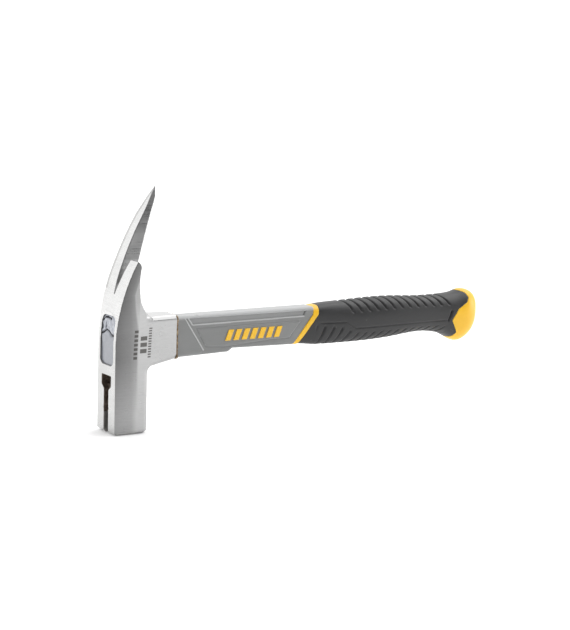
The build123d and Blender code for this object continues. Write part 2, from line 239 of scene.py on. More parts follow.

# bases of the satin steel on the sides, from the front edge, at 0, to the back, at 1; they hold a painted
# reflection, darker near the front edge and lighter along the back
SATIN_FACET = 0.43          # the facets that narrow towards the neck, lighter by painted reflection
SATIN_LOW = ((0.0, 0.275), (0.62, 0.33), (0.80, SATIN_FACET), (1.0, SATIN_FACET))
SATIN_HIGH = ((0.0, 0.14), (0.55, 0.21), (0.77, 0.275), (0.86, SATIN_FACET))
SATIN_RISE = (15.0, 55.0)   # heights between which the first gives way to the second
EDGE_RISE = (63.0, 122.0)   # heights between which the front edge curves back
EDGE_BACK = 11.5            # how far back it is at the upper one
BACK_RISE = (76.0, 102.0)   # heights between which the back comes nearer to the front edge
BACK_LOW = 8.0              # X of the back below those heights
BACK_HIGH = -2.7            # X of the back above them, with the front edge's curve taken off
CLAW_SHADE = 0.80           # painted shade: how much darker the sides are up the claws
CLAW_RISE = (76.0, 98.0)    # heights between which they become so
CLAW_REAR = (0.0, 5.0)      # X between which that painted shade ends

CHAMFER_SHADE = 0.72        # painted shade: how much darker the neck's upper chamfers are
CHAMFER_FOOT = (80.8, 82.2)   # heights between which they begin
CHAMFER_HEAD = (83.9, 84.5)   # and end
CHAMFER_ROOT = (10.0, 16.0)   # X between which they begin

NECK_TOP_LIGHT = 0.56            # painted light: the lighter base of the neck's top
TOP_FOOT = (84.0, 84.5)     # heights between which it begins
TOP_ROOT = (10.0, 14.0)     # X between which it begins
CLAW_FOOT = 96.0            # height where the neck's top has become the claws

# painted light and shade: base of the spike's inner side, from SPIKE_RISE's lower height, at 0, to its upper
# one, at 1
SPIKE_LIGHT_AND_SHADE = ((0.0, 0.50), (0.25, 0.47), (0.45, 0.37), (0.75, 0.48), (1.0, 0.66))
SPIKE_RISE = (132.0, 172.0)
SLOT_LIGHT = 0.62           # painted light: the pale base of the walls of the nail slot, which lie in shade
SLOT_END = (124.0, 132.0)   # heights between which it gives way to the spike's
INNER_SIDES = (-2.0, 8.0)   # Y between which the slot's walls and the spike's inner side lie

SATIN_BRUSH = (0.035, 1.3, 1.3)   # the brush lines run along X
SATIN_BRUSH_DEPTH = 0.010
SATIN_ROUGH = (0.26, 0.36)


def brushed(tree, base, rough_low, rough_high, brush_scale, brush_depth):
    """Colour, roughness and normal of brushed steel with brighter edges, worn and with a painted highlight.
    """
    lines = noise(tree, object_coordinates(tree, brush_scale), scale=1.0, detail=4.0, roughness=0.6)
    clouds = noise(tree, object_coordinates(tree), scale=0.06, detail=4.0, roughness=0.6)
    grain = noise(tree, object_coordinates(tree), scale=2.6, detail=2.0, roughness=0.5)
    shade = blend(tree, 0.5, lines, clouds)
    tone = ramp(tree, shade, [(0.30, 0.90), (0.70, 1.09)])
    # worn edges with a painted highlight
    edge_sheen = times(tree, convexity(tree, *WORN_SHEEN_EDGES), WORN_SHEEN_SHARE)
    colour = blend(tree, edge_sheen, dim(tree, base, tone), WORN_SHEEN_STEEL)
    rough = level(tree, lines, rough_low, rough_high, 0.3, 0.7)
    rough = maths(tree, "ADD", rough, level(tree, clouds, low=-0.03, high=0.04, start=0.3, end=0.7))
    normal = bump(tree, lines, brush_depth)
    normal = bump(tree, grain, brush_depth * 0.5, 0.6, normal)
    return colour, rough, normal


def steel_material(name, low, high, rough_low, rough_high, brush_scale, brush_depth):
    """Plain brushed steel, whose base goes from low at the poll to high at the claws."""
    material, tree = new_material(name)
    z = place(tree)[2]
    base = blend(tree, fade(tree, z, *PLAIN_RISE), low, high)
    colour, rough, normal = brushed(tree, base, rough_low, rough_high, brush_scale, brush_depth)
    surface(tree, Base_Color=colour, Metallic=1.0, Roughness=rough, Normal=normal)
    return material


# columns of etched tally bars on one cheek: X from, X to, Z from, Z to, pitch, share that is filled
ETCHED_COLUMNS = (
    (0.9, 4.0, 55.0, 77.2, 3.2, 0.62),
    (6.2, 11.8, 59.2, 72.6, 4.6, 0.66),
    (13.0, 15.6, 55.6, 77.4, 1.9, 0.55),
)
ETCHED_SLANT = 0.05
ETCHED_MIDDLE = 66.0        # height where the slant moves nothing
ETCHED_SIDE = -9.0          # the bars are only where Y is less than this
ETCHED_COLOUR = (0.10, 0.095, 0.09)
ETCHED_SHARE = 0.86         # how far the bars hide the steel's own colour
ETCHED_ROUGH = 0.25         # how much rougher they are


def etched_mask(tree):
    """1 on the etched bars of the -Y cheek."""
    x, y, z = place(tree)
    lean = times(tree, maths(tree, "SUBTRACT", z, ETCHED_MIDDLE), ETCHED_SLANT)
    leaned = maths(tree, "SUBTRACT", x, lean)
    mask = None
    for x_low, x_high, z_low, z_high, pitch, share in ETCHED_COLUMNS:
        row = maths(tree, "FRACT", maths(tree, "DIVIDE", maths(tree, "SUBTRACT", z, z_low), pitch))
        bars = maths(tree, "LESS_THAN", row, share)
        bars = times(tree, bars, between(tree, leaned, x_low, x_high))
        bars = times(tree, bars, between(tree, z, z_low, z_high))
        mask = bars if mask is None else maths(tree, "MAXIMUM", mask, bars)
    return times(tree, mask, maths(tree, "LESS_THAN", y, ETCHED_SIDE))


def painted_side_base(tree, x, z):
    """The base of the head's sides, with painted reflection and shade: darker near the front edge and up the
    claws, lighter along the back.
    """
    edge = times(tree, level(tree, z, 0.0, EDGE_BACK, *EDGE_RISE), fade(tree, z, *EDGE_RISE))
    behind = maths(tree, "SUBTRACT", maths(tree, "SUBTRACT", x, edge), POLL_FRONT)
    back = maths(tree, "SUBTRACT", level(tree, z, BACK_LOW, BACK_HIGH, *BACK_RISE), POLL_FRONT)
    along = maths(tree, "DIVIDE", behind, back)
    lower = ramp(tree, along, SATIN_LOW)
    upper = ramp(tree, along, SATIN_HIGH)
    base = blend(tree, fade(tree, z, *SATIN_RISE), lower, upper)
    claw_shade_share = level(tree, z, 1.0, CLAW_SHADE, *CLAW_RISE)
    return dim(tree, base, maths(tree, "MAXIMUM", claw_shade_share, fade(tree, x, *CLAW_REAR)))


def chamfer_mask(tree, x, z):
    """1 on the neck's upper chamfers."""
    mask = times(tree, fade(tree, z, *CHAMFER_FOOT), fade(tree, x, *CHAMFER_ROOT))
    return times(tree, mask, level(tree, z, 1.0, 0.0, *CHAMFER_HEAD))


def neck_top_mask(tree, x, z):
    """1 on the neck's top."""
    mask = times(tree, fade(tree, z, *TOP_FOOT), fade(tree, x, *TOP_ROOT))
    return times(tree, mask, maths(tree, "LESS_THAN", z, CLAW_FOOT))


def inner_mask(tree, y, z):
    """1 on the walls of the nail slot and the inner side of the spike."""
    return times(tree, between(tree, y, *INNER_SIDES), maths(tree, "GREATER_THAN", z, CLAW_FOOT))


def inner_base(tree, z):
    """The painted light of the slot's walls and, above them, the painted light and shade of the spike's inner
    side.
    """
    spike = ramp(tree, fade(tree, z, *SPIKE_RISE), SPIKE_LIGHT_AND_SHADE)
    return maths(tree, "MAXIMUM", spike, level(tree, z, SLOT_LIGHT, 0.0, *SLOT_END))


def satin_steel_material():
    """The ground sides of the head, whose base holds painted light and shade, with etched bars on the near
    cheek.
    """
    material, tree = new_material("satin_steel")
    x, y, z = place(tree)
    base = painted_side_base(tree, x, z)
    # painted shade on the neck's upper chamfers
    base = dim(tree, base, level(tree, chamfer_mask(tree, x, z), 1.0, CHAMFER_SHADE))
    # painted light on the neck's top
    base = blend(tree, neck_top_mask(tree, x, z), base, (NECK_TOP_LIGHT, NECK_TOP_LIGHT, NECK_TOP_LIGHT))
    # painted light on the slot's walls and painted light and shade on the spike's inner side
    base = blend(tree, inner_mask(tree, y, z), base, inner_base(tree, z))
    colour, rough, normal = brushed(tree, base, *SATIN_ROUGH, SATIN_BRUSH, SATIN_BRUSH_DEPTH)
    etched = etched_mask(tree)
    colour = blend(tree, times(tree, etched, ETCHED_SHARE), colour, ETCHED_COLOUR)
    rough = maths(tree, "ADD", rough, times(tree, etched, ETCHED_ROUGH))
    surface(tree, Base_Color=colour, Metallic=1.0, Roughness=rough, Normal=normal)
    return material


def oxide_material():
    """Brown-black scale left in the machined pocket and groove."""
    material, tree = new_material("pocket_oxide")
    patches = noise(tree, object_coordinates(tree), scale=0.5, detail=5.0, roughness=0.65)
    colour = ramp(tree, patches, [
        (0.32, (0.046, 0.032, 0.023)),
        (0.55, (0.112, 0.084, 0.065)),
        (0.75, (0.220, 0.182, 0.150)),
    ])
    rough = level(tree, patches, 0.45, 0.75)
    normal = bump(tree, patches, 0.12)
    surface(tree, Base_Color=colour, Metallic=0.35, Roughness=rough, Normal=normal)
    return material


RESIN_LOW = (0.24, 0.255, 0.285)
RESIN_HIGH = (0.42, 0.44, 0.49)
RESIN_CLOUD = (0.20, 0.21, 0.24)
# colour of the painted shade in the hollows
RESIN_HOLLOW_SHADE = (0.02, 0.02, 0.03)
RESIN_RISE = (71.0, 76.0)   # heights between which the resin turns paler
RESIN_HOLLOWS = (0.47, 0.40)   # convexity where a hollow begins to carry painted shade, and where it is dark


def resin_material():
    """Blue-grey casting resin, paler above, with painted shade in its hollows."""
    material, tree = new_material("casting_resin")
    clouds = noise(tree, object_coordinates(tree), scale=0.14, detail=4.0, roughness=0.6)
    grain = noise(tree, object_coordinates(tree), scale=1.1, detail=3.0, roughness=0.55)
    z = place(tree)[2]
    colour = blend(tree, fade(tree, z, *RESIN_RISE), RESIN_LOW, RESIN_HIGH)
    colour = blend(tree, level(tree, clouds, low=0.0, high=0.35, start=0.35, end=0.7), colour, RESIN_CLOUD)
    # painted shade in the hollows
    colour = blend(tree, convexity(tree, *RESIN_HOLLOWS), colour, RESIN_HOLLOW_SHADE)
    rough = level(tree, grain, low=0.12, high=0.3, start=0.3, end=0.7)
    normal = bump(tree, grain, 0.05)
    surface(tree, Base_Color=colour, Roughness=rough, Normal=normal, Coat_Weight=0.5, Coat_Roughness=0.08)
    return material


def crack_shade_material():
    """Painted shade in the bottoms of the shrinkage cracks in the resin."""
    material, tree = new_material("resin_crack_shade")
    dust = noise(tree, object_coordinates(tree), scale=1.2, detail=3.0, roughness=0.6)
    colour = ramp(tree, dust, [(0.3, (0.012, 0.012, 0.014)), (0.7, (0.045, 0.045, 0.052))])
    surface(tree, Base_Color=colour, Roughness=level(tree, dust, 0.5, 0.8), Normal=bump(tree, dust, 0.05))
    return material


def adhesive_material():
    """Cured brown adhesive with paler lumps."""
    material, tree = new_material("amber_adhesive")
    lumps = noise(tree, object_coordinates(tree), scale=0.4, detail=4.0, roughness=0.6)
    colour = ramp(tree, lumps, [
        (0.30, (0.060, 0.034, 0.016)),
        (0.50, (0.230, 0.150, 0.070)),
        (0.72, (0.420, 0.330, 0.190)),
    ])
    rough = level(tree, lumps, 0.15, 0.45)
    normal = bump(tree, lumps, 0.15)
    surface(tree, Base_Color=colour, Roughness=rough, Normal=normal, Coat_Weight=0.4)
    return material


PLASTIC_EDGES = (0.51, 0.58)     # convexity where a plastic's edges begin to carry a painted highlight, and where it is bright
PLASTIC_HOLLOWS = (0.485, 0.42)  # convexity where its hollows begin to carry painted shade, and where they are dark
EDGE_SHARE = 0.7
HOLLOW_SHARE = 0.8
EDGE_GAIN = 1.35                 # the painted highlight's colour on an edge as a share of the base
EDGE_LIFT = 0.02                 # and what is added to it
HOLLOW_SHADE_TONE = 0.35               # the painted shade's colour in a hollow as a share of the base


def moulded_material(name, base, rough, grain_depth, speck=0.06, coat=0.0):
    """Moulded plastic: fine spark texture, faint flow clouds, fine scratches, painted highlights on the
    edges, painted shade in the hollows.
    """
    material, tree = new_material(name)
    texture = noise(tree, object_coordinates(tree), scale=3.2, detail=2.0, roughness=0.5)
    flow = noise(tree, object_coordinates(tree, (0.35, 1.0, 1.0)), scale=0.09, detail=4.0, roughness=0.6)
    along = object_coordinates(tree, scale=(0.25, 2.0, 2.4), turn=(0.0, 0.3, 0.0))
    scratch = noise(tree, along, scale=1.0, detail=3.0, roughness=0.7)
    dark = tuple(c * (1.0 - speck) for c in base)
    light = tuple(min(1.0, c * (1.0 + speck)) for c in base)
    colour = ramp(tree, blend(tree, 0.4, flow, texture), [(0.34, dark), (0.66, light)])
    # painted highlight on the edges
    edge_sheen = tuple(min(1.0, c * EDGE_GAIN + EDGE_LIFT) for c in base)
    colour = blend(tree, times(tree, convexity(tree, *PLASTIC_EDGES), EDGE_SHARE), colour, edge_sheen)
    # painted shade in the hollows
    hollow_shade = tuple(c * HOLLOW_SHADE_TONE for c in base)
    colour = blend(tree, times(tree, convexity(tree, *PLASTIC_HOLLOWS), HOLLOW_SHARE), colour, hollow_shade)
    matt = level(tree, flow, low=rough - 0.05, high=rough + 0.07, start=0.3, end=0.7)
    polish = level(tree, scratch, low=0.0, high=0.07, start=0.62, end=0.75)
    normal = bump(tree, texture, grain_depth)
    normal = bump(tree, scratch, grain_depth * 0.4, 0.4, normal)
    surface(tree, Base_Color=colour, Roughness=maths(tree, "SUBTRACT", matt, polish), Normal=normal,
            Coat_Weight=coat, Coat_Roughness=0.25)
    return material


def fibreglass_material():
    """Pultruded glass fibre: streaks along the handle in cloudy resin."""
    material, tree = new_material("fibreglass")
    fibres = noise(tree, object_coordinates(tree, (0.02, 3.0, 3.0)), scale=1.0, detail=4.0, roughness=0.6)
    colour = ramp(tree, fibres, [(0.35, (0.42, 0.40, 0.28)), (0.65, (0.72, 0.70, 0.55))])
    rough = level(tree, fibres, 0.25, 0.5)
    surface(tree, Base_Color=colour, Roughness=rough, Normal=bump(tree, fibres, 0.05))
    return material


def nickel_material():
    """Dull nickel plating with small pits."""
    material, tree = new_material("magnet_plating")
    pits = noise(tree, object_coordinates(tree), scale=2.0, detail=4.0, roughness=0.6)
    colour = ramp(tree, pits, [(0.35, (0.38, 0.36, 0.33)), (0.65, (0.66, 0.64, 0.60))])
    rough = level(tree, pits, 0.2, 0.45)
    surface(tree, Base_Color=colour, Metallic=1.0, Roughness=rough, Normal=bump(tree, pits, 0.03))
    return material


# ---------------------------------------------------------------- mesh helpers
WELD = 0.001                # points nearer to each other than this become one
SMOOTHING = 0.5             # how far one pass moves a point towards its neighbours' middle


def node_mesh(node):
    """A welded copy of a CAD node's mesh."""
    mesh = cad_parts[node].data.copy()
    mesh.materials.clear()
    shape = bmesh.new()
    shape.from_mesh(mesh)
    bmesh.ops.remove_doubles(shape, verts=shape.verts, dist=WELD * MM)
    bmesh.ops.recalc_face_normals(shape, faces=shape.faces)
    shape.to_mesh(mesh)
    shape.free()
    return mesh


def settle(piece):
    """Bakes the piece's modifiers into its mesh."""
    bpy.context.view_layer.update()
    evaluated = piece.evaluated_get(bpy.context.evaluated_depsgraph_get())
    mesh = bpy.data.meshes.new_from_object(evaluated)
    piece.modifiers.clear()
    piece.data = mesh


def soft_copy(node, name, voxel, passes):
    """A copy of a CAD node with evenly small faces, drawn back onto the node and then smoothed a little."""
    piece = bpy.data.objects.new(name, node_mesh(node))
    scene.collection.objects.link(piece)
    remesh = piece.modifiers.new("remesh", "REMESH")
    remesh.mode = "VOXEL"
    remesh.voxel_size = voxel * MM
    snap = piece.modifiers.new("snap", "SHRINKWRAP")
    snap.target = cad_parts[node]
    snap.wrap_method = "NEAREST_SURFACEPOINT"
    smooth = piece.modifiers.new("smooth", "SMOOTH")
    smooth.factor = SMOOTHING
    smooth.iterations = passes
    settle(piece)
    for polygon in piece.data.polygons:
        polygon.use_smooth = True
    return piece


def vertex_arrays(mesh):
    """The mesh's points in millimetres and its vertex normals."""
    count = len(mesh.vertices)
    points = np.empty(count * 3)
    normals = np.empty(count * 3)
    mesh.vertices.foreach_get("co", points)
    mesh.vertex_normals.foreach_get("vector", normals)
    return points.reshape(-1, 3) / MM, normals.reshape(-1, 3)


def move_vertices(mesh, points):
    """Puts the mesh's vertices at points, which are in millimetres."""
    mesh.vertices.foreach_set("co", (points * MM).astype(np.float32).ravel())
    mesh.update()


def face_arrays(mesh):
    """The centres of the faces in millimetres and their normals."""
    count = len(mesh.polygons)
    centres = np.empty(count * 3)
    normals = np.empty(count * 3)
    mesh.polygons.foreach_get("center", centres)
    mesh.polygons.foreach_get("normal", normals)
    return centres.reshape(-1, 3) / MM, normals.reshape(-1, 3)


def smoothstep(low, high, value):
    """A smooth rise from 0 at low to 1 at high."""
    t = np.clip((value - low) / (high - low), 0.0, 1.0)
    return t * t * (3.0 - 2.0 * t)


def distance_to_path(u, v, path):
    """The distance in a plane from each point (u, v) to a bent line."""
    best = np.full(len(u), np.inf)
    for (u0, v0), (u1, v1) in zip(path[:-1], path[1:]):
        du = u1 - u0
        dv = v1 - v0
        t = np.clip(((u - u0) * du + (v - v0) * dv) / (du * du + dv * dv), 0.0, 1.0)
        best = np.minimum(best, np.hypot(u - u0 - t * du, v - v0 - t * dv))
    return best


def groove_profile(offset, width):
    """A rounded profile that is 1 in the middle of a groove or rib and almost 0 at twice its width."""
    return np.exp(-(offset / width) ** 2)


def finish_piece(piece, materials, slot, *nodes):
    """Gives the piece its materials, hangs it under the root body and hides the given CAD nodes; slot is not
    used.
    """
    for material in materials:
        piece.data.materials.append(material)
    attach(piece, "root")
    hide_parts(*nodes)


# ---------------------------------------------------------------- head
FRONT_FACING = -0.62        # a face of the front has a normal whose X is less than this
FRONT_BACK = 27.0           # and lies ahead of this X
RIM_DEPTH = 0.14            # depth below the poll's front where the pocket's scale begins
POCKET_BACK = 0.0           # X behind the bottoms of the pocket and the groove
POCKET_TOP = 42.9
POCKET_HALF = 7.6
GROOVE_HALF = 3.8
GROOVE_BOTTOM = 15.5        # below this the groove is worn bright
TIP_START = 163.0           # height above which smoothing's loss at the point is made good
EYE_RIM = ((8.9, 86.6), (6.4, 88.1), (-3.0, 87.9), (-11.0, 84.6), (-13.2, 78.3), (-12.6, 71.0))
EYE_RIM_HEIGHT = 0.22       # of the burr along the eye's edge
EYE_RIM_WIDTH = 0.5
EYE_RIM_FACING = -0.8       # the burr is only where the normal's X is less than this
EYE_RIM_BACK = -5.0         # and ahead of this X
STRIP_STEP = 1.0            # height of the bands in which the spike's far front edge is found
STRIP_START = 104.0
STRIP_WIDTH = 3.0           # width of the strip of painted shade along that edge
FRONT_LOOK = 1              # places in the head's list of materials, after the satin sides at 0
POCKET_LOOK = 2
GROOVE_LOOK = 3
SHADE_STRIP_LOOK = 4


def make_head():
    piece = soft_copy("head", "head_forging", voxel=0.42, passes=4)
    points, normals = vertex_arrays(piece.data)
    x, y, z = points.T
    rim = groove_profile(distance_to_path(y, z, EYE_RIM), EYE_RIM_WIDTH)
    rim *= (normals[:, 0] < EYE_RIM_FACING) & (x < EYE_RIM_BACK)
    points[:, 0] -= EYE_RIM_HEIGHT * rim
    top = cad_high.z / MM
    points[:, 2] += (top - z.max()) * smoothstep(TIP_START, z.max(), z)
    move_vertices(piece.data, points)
    centres, normals = face_arrays(piece.data)
    x, y, z = centres.T
    index = np.zeros(len(centres), int)
    index[(normals[:, 0] < FRONT_FACING) & (x < FRONT_BACK)] = FRONT_LOOK
    inside = (x > POLL_FRONT + RIM_DEPTH) & (x < POCKET_BACK) & (np.abs(y) < POCKET_HALF) & (z < POCKET_TOP)
    index[inside & (z > GROOVE_BOTTOM)] = POCKET_LOOK
    index[inside & (z <= GROOVE_BOTTOM) & (np.abs(y) < GROOVE_HALF)] = GROOVE_LOOK
    # painted shade in a strip along the spike's far front edge, where that edge is rounded
    on_front = index == FRONT_LOOK
    bins = np.round(z / STRIP_STEP).astype(int)
    outer = np.full(bins.max() + 1, -np.inf)
    np.maximum.at(outer, bins[on_front], y[on_front])
    index[on_front & (z > STRIP_START) & (y > outer[bins] - STRIP_WIDTH)] = SHADE_STRIP_LOOK
    piece.data.polygons.foreach_set("material_index", index)
    # the front's base is darker at the poll and lighter up the claws, a painted light
    front = steel_material(
        "ground_steel", low=(0.53, 0.53, 0.525), high=(0.68, 0.68, 0.675),
        rough_low=0.20, rough_high=0.28, brush_scale=(1.0, 0.06, 1.0), brush_depth=0.003,
    )
    groove = steel_material(
        "groove_steel", low=(0.30, 0.29, 0.28), high=(0.27, 0.262, 0.252),
        rough_low=0.42, rough_high=0.6, brush_scale=(1.0, 1.0, 0.2), brush_depth=0.03,
    )
    shade_strip = steel_material(
        "front_edge_shade_steel", low=(0.50, 0.50, 0.495), high=(0.50, 0.50, 0.495),
        rough_low=0.22, rough_high=0.30, brush_scale=(1.0, 1.0, 0.06), brush_depth=0.004,
    )
    looks = [satin_steel_material(), front, oxide_material(), groove, shade_strip]
    finish_piece(piece, looks, "forged_steel", "head")


# ---------------------------------------------------------------- resin in the eye
CRACKS = (
    ((4.6, 80.8), (4.0, 75.2)),
    ((4.0, 75.2), (6.6, 73.6), (9.8, 72.2)),
    ((4.0, 75.2), (0.6, 74.9), (-2.1, 73.7), (-4.9, 72.2), (-9.8, 72.0)),
    ((10.2, 75.6), (10.6, 80.6), (7.9, 84.0), (2.7, 84.3), (-2.6, 83.4)),
)
CRACK_DEPTH = 1.6
CRACK_WIDTH = 0.75
CRACK_SHADE_SHARE = 0.8            # share of the width that is painted dark as shade
CRACK_BACK = -7.0           # X that the painted shade in the cracks stays ahead of
RESIN_FACING = -0.5         # the resin's front has a normal whose X is less than this
RESIN_BACK = -9.0           # and lies ahead of this X
LUMP_SIZE = 0.35
LUMP_TURN_Y = 1.1           # radians for each millimetre
LUMP_TURN_Z = 0.8
LUMP_SHIFT = 0.4
LUMP_RISE = (72.0, 75.0)    # heights between which the lumps begin
DOME_DEPTH = 0.5            # how far the middle and the lower end sink
DOME_RISE = (71.0, 60.0)


def make_resin():
    piece = soft_copy("eye_potting", "eye_resin", voxel=0.4, passes=4)
    points, normals = vertex_arrays(piece.data)
    x, y, z = points.T
    front = (normals[:, 0] < RESIN_FACING) & (x < RESIN_BACK)
    cut = np.max([groove_profile(distance_to_path(y, z, path), CRACK_WIDTH) for path in CRACKS], axis=0)
    lumps = LUMP_SIZE * np.sin(LUMP_TURN_Y * y + LUMP_SHIFT) * np.sin(LUMP_TURN_Z * z)
    lumps *= smoothstep(*LUMP_RISE, z)
    dome = DOME_DEPTH * smoothstep(*DOME_RISE, z)
    points[:, 0] += front * (CRACK_DEPTH * cut + lumps + dome)
    move_vertices(piece.data, points)
    centres, _ = face_arrays(piece.data)
    x, y, z = centres.T
    # faces near the cracks get the painted shade
    near = np.min([distance_to_path(y, z, path) for path in CRACKS], axis=0)
    in_crack_shade = (near < CRACK_WIDTH * CRACK_SHADE_SHARE) & (x < CRACK_BACK)
    piece.data.polygons.foreach_set("material_index", in_crack_shade.astype(int))
    finish_piece(piece, [resin_material(), crack_shade_material()], "casting_resin", "eye_potting")


# ---------------------------------------------------------------- bead
BEAD_SIDE = 9.0             # the bead's outside is beyond this half width
BEAD_TOP = 82.5             # or above this height
BEAD_BOTTOM = 55.0          # or below this one
BEAD_MEAN = 0.35            # how far the adhesive swells on average
BEAD_LEAST = 0.05
BEAD_MOST = 0.7
BEAD_WAVES = ((0.25, 1.9, 0.7, 0.0), (0.2, 0.7, 0.0, 2.0))   # size, radians per mm of Z and of Y, shift
BEAD_BLOBS = ((0.8, 54.4, 1.4), (0.6, 82.0, 1.2))            # size, height and width, on the -Y side


def make_bead():
    piece = soft_copy("neck_bead", "adhesive_bead", voxel=0.25, passes=3)
    points, normals = vertex_arrays(piece.data)
    _, y, z = points.T
    outer = (np.abs(y) > BEAD_SIDE) | (z > BEAD_TOP) | (z < BEAD_BOTTOM)
    swell = np.full(len(points), BEAD_MEAN)
    for size, along_z, along_y, shift in BEAD_WAVES:
        swell += size * np.sin(along_z * z + along_y * y + shift)
    swell = np.clip(swell, BEAD_LEAST, BEAD_MOST)
    for size, height, width in BEAD_BLOBS:
        swell += size * groove_profile(z - height, width) * (y < 0)
    sideways = normals.copy()
    sideways[:, 0] = 0.0
    points += (outer * swell)[:, None] * sideways
    move_vertices(piece.data, points)
    finish_piece(piece, [adhesive_material()], "amber_adhesive", "neck_bead")


# ---------------------------------------------------------------- jacket
# lines on each side of the jacket, X and Z
PANEL_LEFT = ((52.0, 76.6), (48.6, 81.0))
PANEL_RIGHT = ((147.6, 77.4), (149.4, 81.0))
PANEL_LOW = 76.6
SHOULDER_LOW = 81.1         # above this the jacket's rounded shoulder gets the painted highlight
RIBS = (
    ((48.1, 81.0), (51.6, 76.1), (147.6, 76.9)),
    ((45.6, 80.8), (61.0, 57.0)),
)
SCORES = (
    PANEL_RIGHT,
    ((55.2, 73.2), (63.0, 59.4), (79.2, 58.3), (118.7, 61.0), (135.0, 61.2), (145.0, 73.4), (55.2, 73.2)),
)
RIB_HEIGHT = 0.4
SCORE_DEPTH = 0.3
RELIEF_WIDTH = 0.5
RIDGE_HALF = 0.55           # half width of the painted highlight on the tops of the ribs
JACKET_SIDE = 6.5           # the flat sides are beyond this half width
SIDE_FACING = 0.6           # and their normals have a Y of more than this, either way
PANEL_LOOK = 1              # places in the jacket's list of materials, after the plain grey at 0
RIDGE_HIGHLIGHT_LOOK = 2


def relief(x, z, paths):
    """How near each point is to the middle of any of the paths, from 0 to 1."""
    return np.max([groove_profile(distance_to_path(x, z, path), RELIEF_WIDTH) for path in paths], axis=0)


def x_at(z, line):
    """The X of a line's points (X, Z), listed upwards, at each height z."""
    across, heights = zip(*line)
    return np.interp(z, heights, across)


def make_jacket():
    piece = soft_copy("shank_jacket", "jacket_shell", voxel=0.34, passes=3)
    points, normals = vertex_arrays(piece.data)
    x, y, z = points.T
    side = (np.abs(normals[:, 1]) > SIDE_FACING) & (np.abs(y) > JACKET_SIDE)
    raise_by = RIB_HEIGHT * relief(x, z, RIBS) - SCORE_DEPTH * relief(x, z, SCORES)
    points[:, 1] += side * np.sign(y) * raise_by
    move_vertices(piece.data, points)
    centres, _ = face_arrays(piece.data)
    x, y, z = centres.T
    side = np.abs(y) > JACKET_SIDE
    near = np.min([distance_to_path(x, z, path) for path in RIBS], axis=0)
    in_panel = (z > PANEL_LOW) & (z < SHOULDER_LOW) & (x > x_at(z, PANEL_LEFT)) & (x < x_at(z, PANEL_RIGHT))
    index = np.zeros(len(centres), int)
    index[side & in_panel] = PANEL_LOOK
    # painted highlight on the tops of the ribs and on the shoulder
    index[side & (near < RIDGE_HALF)] = RIDGE_HIGHLIGHT_LOOK
    index[z > SHOULDER_LOW] = RIDGE_HIGHLIGHT_LOOK
    piece.data.polygons.foreach_set("material_index", index)
    grey = moulded_material("jacket_plastic", (0.208, 0.212, 0.210), rough=0.34, grain_depth=0.010)
    panel = moulded_material("jacket_panel", (0.262, 0.266, 0.266), rough=0.34, grain_depth=0.010)
    ridge_highlight = moulded_material("jacket_ridge_highlight", (0.370, 0.376, 0.378), rough=0.32, grain_depth=0.008)
    finish_piece(piece, [grey, panel, ridge_highlight], "grey_jacket", "shank_jacket")


# ---------------------------------------------------------------- grip
GRIP_MIDDLE = 70.0          # height of the grip's middle line
OUTSIDE = 2.0               # a point is on the outside if its normal leans away from the middle by this
GRIP_SIDE = 12.7            # half width of the smooth side panels
ROUND_SHARE = 0.72          # way round the grip for each millimetre of height and width together
GROOVE_PITCH = 7.47

UPPER_FIRST = 191.2         # X where the first upper groove ends on the side panel
UPPER_COUNT = 13
UPPER_SLOPE = 0.51
UPPER_END = 78.0            # height where the upper grooves end
UPPER_RUNOUT = (-0.6, 1.4)  # way round over which they reach their full depth
UPPER_WIDTH = 0.85
UPPER_DEPTH = 1.0

# the step line on each side, X and Z, and the row of grooves below it
LOWER_STEP = ((150.0, 70.9), (184.6, 70.5), (192.6, 65.2), (279.6, 66.3))
LOWER_FIRST = 161.0         # X where the first lower groove meets the step line
LOWER_SLOPES = ((185.0, 215.0), (0.53, 0.85))   # X, and the grooves' slope there
LOWER_RUNOUT = (2.6, 4.6)
LOWER_START = (157.0, 161.0)   # X between which the row begins
LOWER_END = (280.0, 274.0)     # and ends
LOWER_WIDTH = 0.9
LOWER_DEPTH = 1.0

SEAM_SIDE = (9.0, 10.0)     # half widths over which the seam along the step begins
SEAM_START = (158.0, 163.0)
SEAM_WIDTH = 0.55
SEAM_DEPTH = 0.6
STEP_DEPTH = 0.3            # how far the grip is sunk below the step line
STEP_HALF = 0.4             # half the height over which it sinks
STEP_START = (158.0, 166.0)
STEP_END = (284.0, 278.0)

SLOT_LINE = ((279.4, 66.3), (282.3, 73.5))
SLOT_SIDE = 9.0
SLOT_WIDTH = 0.8
SLOT_DEPTH = 1.4


def upper_grooves(x, y, z):
    """The slanted grooves of the upper row, from 0 to 1 in the middle of a groove."""
    climb = ROUND_SHARE * ((z - UPPER_END) + (GRIP_SIDE - np.abs(y)))
    phase = (x - UPPER_FIRST + UPPER_SLOPE * climb) / GROOVE_PITCH
    nearest = np.round(phase)
    cut = groove_profile((phase - nearest) * GROOVE_PITCH, UPPER_WIDTH) * smoothstep(*UPPER_RUNOUT, climb)
    return cut * ((nearest >= 0) & (nearest < UPPER_COUNT))


def lower_grooves(x, y, z, step_line):
    """The slanted grooves below the step line."""
    drop = ROUND_SHARE * ((step_line - z) + (GRIP_SIDE - np.abs(y)))
    phase = (x - LOWER_FIRST + np.interp(x, *LOWER_SLOPES) * drop) / GROOVE_PITCH
    offset = (phase - np.round(phase)) * GROOVE_PITCH
    cut = groove_profile(offset, LOWER_WIDTH) * smoothstep(*LOWER_RUNOUT, drop) * (z < step_line)
    return cut * (smoothstep(*LOWER_START, x) * smoothstep(*LOWER_END, x))


